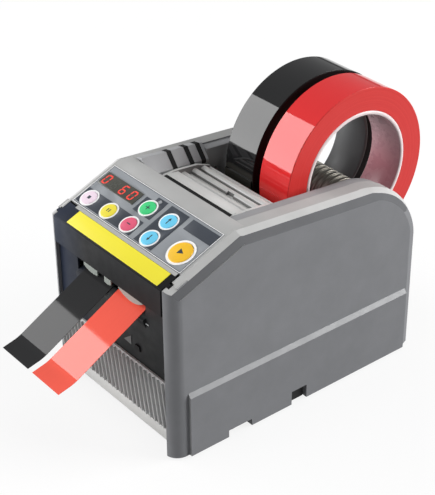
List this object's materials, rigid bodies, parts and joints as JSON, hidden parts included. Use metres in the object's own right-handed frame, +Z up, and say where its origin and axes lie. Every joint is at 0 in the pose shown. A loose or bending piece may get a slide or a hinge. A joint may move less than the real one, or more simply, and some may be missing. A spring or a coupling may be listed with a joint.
{
  "type": "electric tape dispenser",
  "caption": "Countertop electric tape dispenser: a motor feeds tape from rolls held in an open well, a blade cuts it at the front outlet, and a sloped panel holds keys and a display.",
  "frame": {"origin": "on the counter, under the middle of the overall box with its tape rolls and tape ends", "axes": "+Z up, -Y the way the tape comes out, +X to the right seen from the outlet"},
  "size_m": [0.125, 0.2774, 0.1759],
  "materials": {
    "case_grey": "fine grain",
    "rim_grey": "fine grain",
    "panel_print": "printed film",
    "slate_print": "printed film",
    "ring_white": "smooth",
    "display_dark": "smooth",
    "start_amber": "smooth",
    "key_green": "smooth",
    "key_red": "smooth",
    "key_yellow": "smooth",
    "key_pink": "smooth",
    "key_blue": "smooth",
    "black_plastic": "satin",
    "strip_yellow": "printed film",
    "lip_grey": "satin",
    "rib_grey": "satin",
    "steel": "brushed",
    "dark_steel": "satin",
    "bronze": "turned",
    "black_rubber": "matt",
    "board_green": "satin",
    "nylon": "satin",
    "tape_red": "wound film",
    "tape_black": "wound film",
    "core_pale": "satin",
    "core_dark": "satin"
  },
  "bodies": {
    "housing": {"base_plate": "case_grey", "left_cover": "case_grey", "right_cover": "case_grey", "front_lip": "lip_grey", "ribbed_panel": "rib_grey", "lower_plate": "black_plastic", "panel_deck": "rim_grey", "panel_overlay": "panel_print", "panel_patches": "slate_print", "key_rings": "ring_white", "display_window": "display_dark", "control_board": "board_green", "tact_switches": "black_plastic", "left_frame": "steel", "right_frame": "steel", "bearings": "bronze", "feed_motor": "dark_steel", "cutter_motor": "dark_steel", "fixed_blade": "steel", "blade_guides": "black_plastic", "press_shoes": "rib_grey", "well_liner": "rim_grey", "left_rail": "rim_grey", "red_web": "tape_red", "black_web": "tape_black", "red_strip": "tape_red", "black_strip": "tape_black", "rear_panel": "case_grey", "power_inlet": "black_plastic", "feet": "black_rubber", "case_screws": "steel"},
    "start": {"start_key": "start_amber"},
    "green": {"green_key": "key_green"},
    "red": {"red_key": "key_red"},
    "yellow": {"yellow_key": "key_yellow"},
    "pink": {"pink_key": "key_pink"},
    "blue_front": {"blue_key_front": "key_blue"},
    "blue_back": {"blue_key_back": "key_blue"},
    "safety_lid": {"safety_cover": "black_plastic", "yellow_strip": "strip_yellow"},
    "feed_shaft": {"feed_roller": "steel", "feed_rings": "black_rubber", "feed_gear": "nylon"},
    "pinion": {"motor_pinion": "bronze"},
    "pinch": {"pinch_roller": "rib_grey"},
    "guide": {"guide_roller": "nylon"},
    "crank": {"crank": "steel"},
    "cutter": {"blade_carriage": "steel", "moving_blade": "steel"},
    "feed_lid": {"feed_cover": "lip_grey"},
    "front_carrier": {"front_support": "rib_grey"},
    "rear_carrier": {"rear_support": "rib_grey"},
    "hub": {"hub_roller": "dark_steel"},
    "red_roll": {"red_core": "core_pale", "red_tape": "tape_red"},
    "black_roll": {"black_core": "core_dark", "black_tape": "tape_black"},
    "switch": {"rocker": "black_plastic"}
  },
  "joints": [
    {"name": "start_press", "type": "slide", "parent": "housing", "child": "start", "axis": [0, 0.3714, -0.9285], "range_m": [0, 0.0007], "stiffness_N_per_m": 500, "springref_m": -0.0006},
    {"name": "green_press", "type": "slide", "parent": "housing", "child": "green", "axis": [0, 0.3714, -0.9285], "range_m": [0, 0.0007], "stiffness_N_per_m": 500, "springref_m": -0.0006},
    {"name": "red_press", "type": "slide", "parent": "housing", "child": "red", "axis": [0, 0.3714, -0.9285], "range_m": [0, 0.0007], "stiffness_N_per_m": 500, "springref_m": -0.0006},
    {"name": "yellow_press", "type": "slide", "parent": "housing", "child": "yellow", "axis": [0, 0.3714, -0.9285], "range_m": [0, 0.0007], "stiffness_N_per_m": 500, "springref_m": -0.0006},
    {"name": "pink_press", "type": "slide", "parent": "housing", "child": "pink", "axis": [0, 0.3714, -0.9285], "range_m": [0, 0.0007], "stiffness_N_per_m": 500, "springref_m": -0.0006},
    {"name": "blue_front_press", "type": "slide", "parent": "housing", "child": "blue_front", "axis": [0, 0.3714, -0.9285], "range_m": [0, 0.0007], "stiffness_N_per_m": 500, "springref_m": -0.0006},
    {"name": "blue_back_press", "type": "slide", "parent": "housing", "child": "blue_back", "axis": [0, 0.3714, -0.9285], "range_m": [0, 0.0007], "stiffness_N_per_m": 500, "springref_m": -0.0006},
    {"name": "safety_lid_hinge", "type": "hinge", "parent": "housing", "child": "safety_lid", "pos_m": [0, -0.07296, 0.11745], "axis": [-1, 0, 0], "range_deg": [0, 70]},
    {"name": "feed_lid_hinge", "type": "hinge", "parent": "housing", "child": "feed_lid", "pos_m": [0, -0.02258, 0.124], "axis": [1, 0, 0], "range_deg": [0, 75]},
    {"name": "feed_turn", "type": "hinge", "parent": "housing", "child": "feed_shaft", "pos_m": [0, -0.05108, 0.0932], "axis": [1, 0, 0], "continuous": true},
    {"name": "pinion_turn", "type": "hinge", "parent": "housing", "child": "pinion", "pos_m": [0, -0.0339, 0.07602], "axis": [1, 0, 0], "continuous": true},
    {"name": "pinch_turn", "type": "hinge", "parent": "housing", "child": "pinch", "pos_m": [0, -0.05497, 0.10824], "axis": [1, 0, 0], "continuous": true},
    {"name": "guide_turn", "type": "hinge", "parent": "housing", "child": "guide", "pos_m": [0, 0.01885, 0.11074], "axis": [1, 0, 0], "continuous": true},
    {"name": "front_carrier_turn", "type": "hinge", "parent": "housing", "child": "front_carrier", "pos_m": [0, 0.05599, 0.06467], "axis": [1, 0, 0], "continuous": true},
    {"name": "rear_carrier_turn", "type": "hinge", "parent": "housing", "child": "rear_carrier", "pos_m": [0, 0.09704, 0.05999], "axis": [1, 0, 0], "continuous": true},
    {"name": "hub_turn", "type": "hinge", "parent": "housing", "child": "hub", "pos_m": [0, 0.07142, 0.1075], "axis": [1, 0, 0], "continuous": true},
    {"name": "red_roll_turn", "type": "hinge", "parent": "housing", "child": "red_roll", "pos_m": [0, 0.08312, 0.1203], "axis": [1, 0, 0], "continuous": true},
    {"name": "black_roll_turn", "type": "hinge", "parent": "housing", "child": "black_roll", "pos_m": [0, 0.08312, 0.1203], "axis": [1, 0, 0], "continuous": true},
    {"name": "crank_turn", "type": "hinge", "parent": "housing", "child": "crank", "pos_m": [0, -0.07678, 0.048], "axis": [0, 1, 0], "range_deg": [0, 180]},
    {"name": "cutter_lift", "type": "slide", "parent": "housing", "child": "cutter", "axis": [0, 0, 1], "range_m": [0, 0.008]},
    {"name": "switch_tip", "type": "hinge", "parent": "housing", "child": "switch", "pos_m": [0.0255, 0.10292, 0.038], "axis": [0, 0, 1], "range_deg": [0, 14]}
  ],
  "couplings": [
    {"joint": "pinion_turn", "follows": "feed_turn", "ratio": -2},
    {"joint": "pinch_turn", "follows": "feed_turn", "ratio": -1.5},
    {"joint": "crank_turn", "follows": "cutter_lift", "rad_per_m": 392.69}
  ]
}
